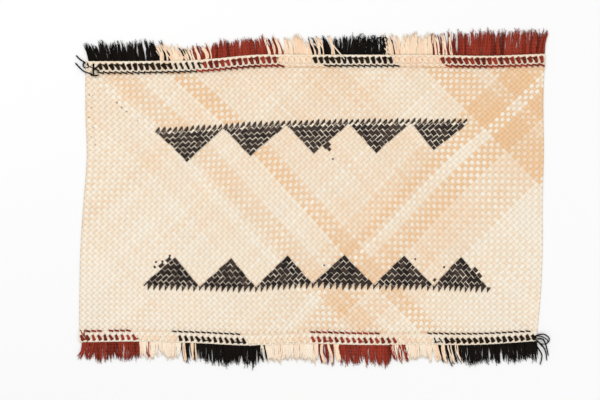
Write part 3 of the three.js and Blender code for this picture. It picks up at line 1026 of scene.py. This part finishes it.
# Yarns that lie loose: dye, radius and places in millimetres, seen from the plait's middle
looseYarns = [
    ("black", 1.2, [(-374.1, 229.5, 1.0), (-368.5, 223.5, 1.2), (-361.4, 218.7, 1.4), (-354.2, 212.4, 2.4),
                    (-347, 209, 3.9)]),
    ("black", 1.2, [(-375.6, 217.9, 1.0), (-369.3, 210.8, 1.2), (-361.4, 203.7, 2.2), (-355, 201.3, 3.4),
                    (-347, 199, 3.9)]),
    ("black", 1.2, [(-353, 210.5, 3.0), (-356.5, 217.5, 2.0), (-361.5, 217, 1.4), (-362.5, 212, 1.3),
                    (-358, 209, 2.2), (-352, 211.5, 3.8)]),
    ("black", 1.5, [(-345.5, 216, 3.0), (-346, 212, 3.9), (-346.2, 204, 4.1), (-346, 196.8, 3.5)]),
    ("black", 1.4, [(-346.5, 205, 3.9), (-343, 208, 4.3), (-338.5, 211.5, 3.9)]),
    ("black", 1.4, [(-346.5, 208.5, 3.9), (-342, 206.5, 4.3), (-336.5, 204.2, 3.8)]),
    ("black", 1.4, [(-351, 198.2, 3.4), (-347, 197.2, 4.0), (-341, 197, 3.9), (-337, 198.2, 3.4)]),
    ("black", 0.8, [(348.7, -217.1, 3.3), (361.4, -215.5, 2.6), (372.9, -221.9, 1.2), (370.9, -228.2, 0.9),
                    (358.2, -226.6, 1.8)]),
    ("black", 0.8, [(346.7, -219.6, 3.2), (356.7, -222.6, 2.6), (362.7, -230.1, 1.2), (370.2, -236.6, 0.9)]),
    ("black", 1.1, [(351.9, -215.6, 3.6), (366.1, -212.4, 3.0), (375.6, -218.7, 1.6), (374, -226.7, 1.2)]),
    ("black", 1.2, [(355, -220.3, 3.6), (366, -220.9, 2.8), (371.5, -233.6, 1.4), (374.6, -247.8, 1.2)]),
    ("black", 1.1, [(352.4, -223.5, 3.2), (362, -227.2, 2.8), (369.9, -239.9, 1.6), (372, -255.8, 1.2)]),
    ("black", 1.2, [(350.3, -225, 3.0), (357.2, -233.6, 2.6), (364.1, -246.3, 1.6), (361, -262.1, 1.2)]),
    ("red", 0.8, [(-354.3, -223.1, 3.0), (-361.3, -232.6, 1.2), (-366.8, -240.6, 0.9),
                  (-372.3, -248.8, 0.9)]),
    ("red", 0.7, [(-352.3, -226.1, 1.6), (-356.3, -236.6, 1.0), (-360.3, -245.6, 0.9)]),
    ("red", 0.9, [(-367, -205.5, 1.9), (-364, -211, 3.4), (-359.5, -216.5, 3.8), (-357, -221, 2.6)]),
    ("red", 0.9, [(-359.5, -205, 3.2), (-360.8, -211, 3.9), (-359, -217.5, 3.8), (-360, -222, 2.6)]),
    ("natural", 1.1, [(30, 249, 2.6), (38, 239.3, 3.0), (46, 229.8, 3.9), (52.3, 221.9, 4.1)]),
    ("natural", 1.0, [(114, 241, 2.6), (122, 233, 3.0), (132, 228.5, 3.9), (139.5, 223.5, 4.0)]),
    ("natural", 1.0, [(-240, 247, 2.8), (-235, 238, 2.9), (-229, 231, 3.0), (-223.5, 222.5, 3.4)]),
    ("natural", 1.0, [(-234.5, 247.5, 2.8), (-230, 239, 2.9), (-224, 231, 3.0), (-218.5, 222.3, 3.4)]),
    ("natural", 1.0, [(-216, 238, 2.8), (-209, 231, 2.9), (-202, 225, 3.2), (-197, 219.5, 3.9)]),
]


# Yarns that curled up, right of the middle of the top
curls = {"count": 15, "x": (74, 116), "y": (233, 256), "size": (4, 8), "radius": 0.8 * mm, "turn": 0.95}


def curl(chance, x, y, size):
    turn = chance.uniform(0, 2 * math.pi)
    way = chance.choice((-1, 1))
    points = [(x, y - 0.4 * size, 1.8)]
    for k in range(7):
        angle = turn + way * k * curls["turn"]
        up = size * (0.5 + 0.5 * math.sin(angle)) + k * 0.5
        points.append((x + size * 0.55 * math.cos(angle), y + up, 1.9 + 0.35 * math.sin(k * 1.7)))
    return points


def makeFringes():
    loose = {"black": [], "natural": [], "red": []}
    made = []
    for side, outward in (("top", 1), ("bottom", -1)):
        start = 0
        for index, (yarn, end, lengths, leans) in enumerate(bundles[side], 1):
            one, others = makeBundle(side, outward, index, yarn, start, end, lengths, leans)
            made.append(one)
            for dye, points in others:
                loose[dye].append((fringe["radius"][dye], points, 8))
            start = end
    chance = random.Random(41)
    plaitMiddle = Vector((shiftX, shiftY, 0))
    for dye, radius, points in looseYarns:
        loose[dye].append((radius * mm, [plaitMiddle + Vector(p) * mm for p in points], 12))
    for _ in range(curls["count"]):
        x, y = chance.uniform(*curls["x"]), chance.uniform(*curls["y"])
        points = curl(chance, x, y, chance.uniform(*curls["size"]))
        loose["black"].append((curls["radius"], [plaitMiddle + Vector(p) * mm for p in points], 16))
    for dye, yarns in loose.items():
        if not yarns:
            continue
        bm, layers = newYarns()
        for radius, points, sections in yarns:
            spinYarn(bm, layers, points, radius, chance.random(), sections=sections)
        made.append(finishYarns(bm, "loose_yarns_" + dye, dye, wool[dye]))
    return made


onMat += makeFringes()
print("fringes tied")

# Stitches
stitches = {
    "height": 3.0 * mm,  # top of the turned hem
    "strand": 1.15 * mm,  # radius of a yarn
    "apart": 1.4 * mm,
    "jitter": 0.12 * mm,
    "shades": 0.15,
    # middle of a bar in checks from the hem's edge, its length, and its lean, outer end to the left
    "top": (0.86, 11.6 * mm, 0.38),
    "bottom": (0.67, 9.6 * mm, 0.45),
    "bridged": {"top": 0.4, "bottom": 0.15},  # share of the bars that are joined to the next
    "bridgeAt": 0.36,  # of a bar's length, out from its middle
    "bridge": 0.92 * mm,
    "bridgeArch": ((-0.1, 0.3), (0.3, 0.6), (0.7, 0.6), (1.05, 0.2)),  # checks along it, and its height
    "bridgeSlant": 0.4,
    "leaning": 0.12,  # how unevenly the bars lean
    "longer": (0.85, 1.06),
    "strandLonger": (0.86, 1.04),
    "drawn": (1.25, 0.55),  # how far apart a bar's strands are at its outer and inner end
    "bowed": (0.5, 16),  # a bar's height at its middle, and how fast it dips to its ends
    "back": {"black": 1.25 * mm, "natural": 1.15 * mm, "red": 1.6 * mm},  # radius of the back stitches
    "backRow": 1.84,
    "backTilt": {"top": 0.15, "bottom": 0.1},
    "tiltUneven": (0.6, 1.3),
    "backArch": (0.1, 0.9),
    "backLong": {"top": 0.58, "bottom": 0.37},  # half a back stitch, in checks
}
# Bars on the hems: column where each colour ends, yarn, and strands to a bar
bars = {
    "top": [(1.6, None, 0), (14.6, "black", 4), (19.8, "black", 2), (32.1, "red", 4), (39, "natural", 4),
            (52.8, "black", 4), (60.4, "natural", 4), (79, "red", 4)],
    "bottom": [(9.9, "red", 3), (16.6, "natural", 3), (28.6, "black", 3), (40, "natural", 3),
               (54.2, "red", 3), (60.1, "natural", 3), (62.5, "black", 1), (78.3, "black", 4)],
}
# The line of stitches along each hem's inner side
backs = {
    "top": [(1.2, None), (18.3, "black"), (33.7, "red"), (40.8, "natural"), (53.6, "black"),
            (61.7, "natural"), (78.7, "red")],
    "bottom": [(0.8, None), (3.5, "red"), (4.5, None), (8.6, "red"), (16, "natural"), (27.4, "black"),
               (39.7, "natural"), (51.5, "red"), (59.3, "natural"), (77.8, "black")],
}


# Every check of a hem that a table gives a yarn to.
def sewnChecks(table):
    start = 0
    for end, dye, *more in table:
        for whole in range(math.ceil(start), math.ceil(end)):
            if dye is not None:
                yield whole + 0.5, dye, *more
        start = end


def sewBar(bm, layers, side, outward, column, strands, chance):
    fromEdge, longest, sideLean = stitches[side]
    bowed, dip = stitches["bowed"]
    x, y = laid(column, (plait["down"] if outward > 0 else 0) - outward * fromEdge)
    lean = sideLean + chance.gauss(0, stitches["leaning"])
    long = longest * chance.uniform(*stitches["longer"])
    tone = chance.random()
    for k in range(strands):
        aside = (k - (strands - 1) / 2) * stitches["apart"] + chance.gauss(0, stitches["jitter"])
        mine = long * chance.uniform(*stitches["strandLonger"])
        points = []
        for t in (-0.5, -0.36, 0, 0.36, 0.5):
            along, drawn = mine * t, aside * lerp(*stitches["drawn"], 0.5 - outward * t)
            points.append((x - math.sin(lean) * along + math.cos(lean) * drawn,
                           y + math.cos(lean) * along + math.sin(lean) * drawn,
                           stitches["height"] + (bowed - dip * t**4) * mm))
        shade = clamp(tone + chance.gauss(0, stitches["shades"]))
        spinYarn(bm, layers, points, stitches["strand"], shade, tip=1)
    if chance.random() < stitches["bridged"][side]:
        out = outward * longest * stitches["bridgeAt"]
        reachX = x - math.sin(lean) * abs(out)
        points = [(reachX + check * t, y + out * (1 - stitches["bridgeSlant"] * t),
                   stitches["height"] + rise * mm) for t, rise in stitches["bridgeArch"]]
        spinYarn(bm, layers, points, stitches["bridge"], tone, sections=6, tip=1)


def sewBack(bm, layers, side, outward, column, dye, chance):
    row = (plait["down"] if outward > 0 else 0) - outward * stitches["backRow"]
    up, sag = stitches["backArch"]
    tilt = stitches["backTilt"][side] * chance.uniform(*stitches["tiltUneven"])
    points = []
    for t in (-1, -0.7, 0, 0.7, 1):
        away = t * stitches["backLong"][side]
        x, y = laid(column + away, row - tilt * away * 2)
        points.append((x, y, stitches["height"] + (up - sag * abs(t) ** 3) * mm))
    spinYarn(bm, layers, points, stitches["back"][dye], chance.random(), tip=1)


def makeStitches():
    chance = random.Random(8)
    sewn = {dye: newYarns() for dye in ("black", "natural", "red")}
    for side, outward in (("top", 1), ("bottom", -1)):
        for column, dye, strands in sewnChecks(bars[side]):
            sewBar(*sewn[dye], side, outward, column, strands, chance)
        for column, dye in sewnChecks(backs[side]):
            sewBack(*sewn[dye], side, outward, column, dye, chance)
    made = []
    for dye, (bm, _) in sewn.items():
        material = wool["sewnBlack"] if dye == "black" else wool[dye]
        made.append(finishYarns(bm, "stitches_" + dye, dye, material))
    return made


onMat += makeStitches()
print("hems sewn")

# Table, light and camera
studio = {
    "floor": (0.93, 0.935, 0.93),
    "sky": 0.76,
    "lamps": {"key": ((-1.6, 1.9, 2.2), 1.2, 30), "fill": ((1.9, -0.9, 2.2), 1.6, 14)},  # place, size, watts
    "cameraHeight": 2.4,
    "seenWidth": 0.951,
    "aim": (-0.01902, 0),  # from the plait's middle
    "floorHalf": 6,
    "floorDrop": 0.2 * mm,
}


def makeFloor():
    bm = bmesh.new()
    bmesh.ops.create_grid(bm, x_segments=2, y_segments=2, size=studio["floorHalf"])
    bmesh.ops.translate(bm, verts=bm.verts[:], vec=(0, 0, -studio["floorDrop"]))
    mesh = bpy.data.meshes.new("floor")
    bm.to_mesh(mesh)
    bm.free()
    floor = bpy.data.objects.new("floor", mesh)
    bpy.context.collection.objects.link(floor)
    material, shader = newMaterial("paleFloor", 0.8, shine=0.1)
    shader.inputs["Base Color"].default_value = (*studio["floor"], 1)
    mesh.materials.append(material)


def addLamp(name, place, size, power):
    lamp = bpy.data.lights.new(name, "AREA")
    lamp.shape = "DISK"
    lamp.size = size
    lamp.energy = power
    made = bpy.data.objects.new(name, lamp)
    made.location = place
    made.rotation_euler = (-Vector(place)).to_track_quat("-Z", "Y").to_euler()
    bpy.context.collection.objects.link(made)


makeFloor()
world = bpy.data.worlds.new("studio")
world.use_nodes = True
world.node_tree.nodes["Background"].inputs["Color"].default_value = (1, 1, 1, 1)
world.node_tree.nodes["Background"].inputs["Strength"].default_value = studio["sky"]
bpy.context.scene.world = world
for lampName, (place, size, power) in studio["lamps"].items():
    addLamp(lampName, place, size, power)

camera = bpy.data.cameras.new("camera")
camera.sensor_width = 36
camera.lens = camera.sensor_width * studio["cameraHeight"] / studio["seenWidth"]
cameraObject = bpy.data.objects.new("camera", camera)
aimX, aimY = studio["aim"]
cameraObject.location = (aimX + shiftX, aimY + shiftY, studio["cameraHeight"])
bpy.context.collection.objects.link(cameraObject)
bpy.context.scene.camera = cameraObject
bpy.context.scene.view_settings.view_transform = "Standard"
print("studio set")
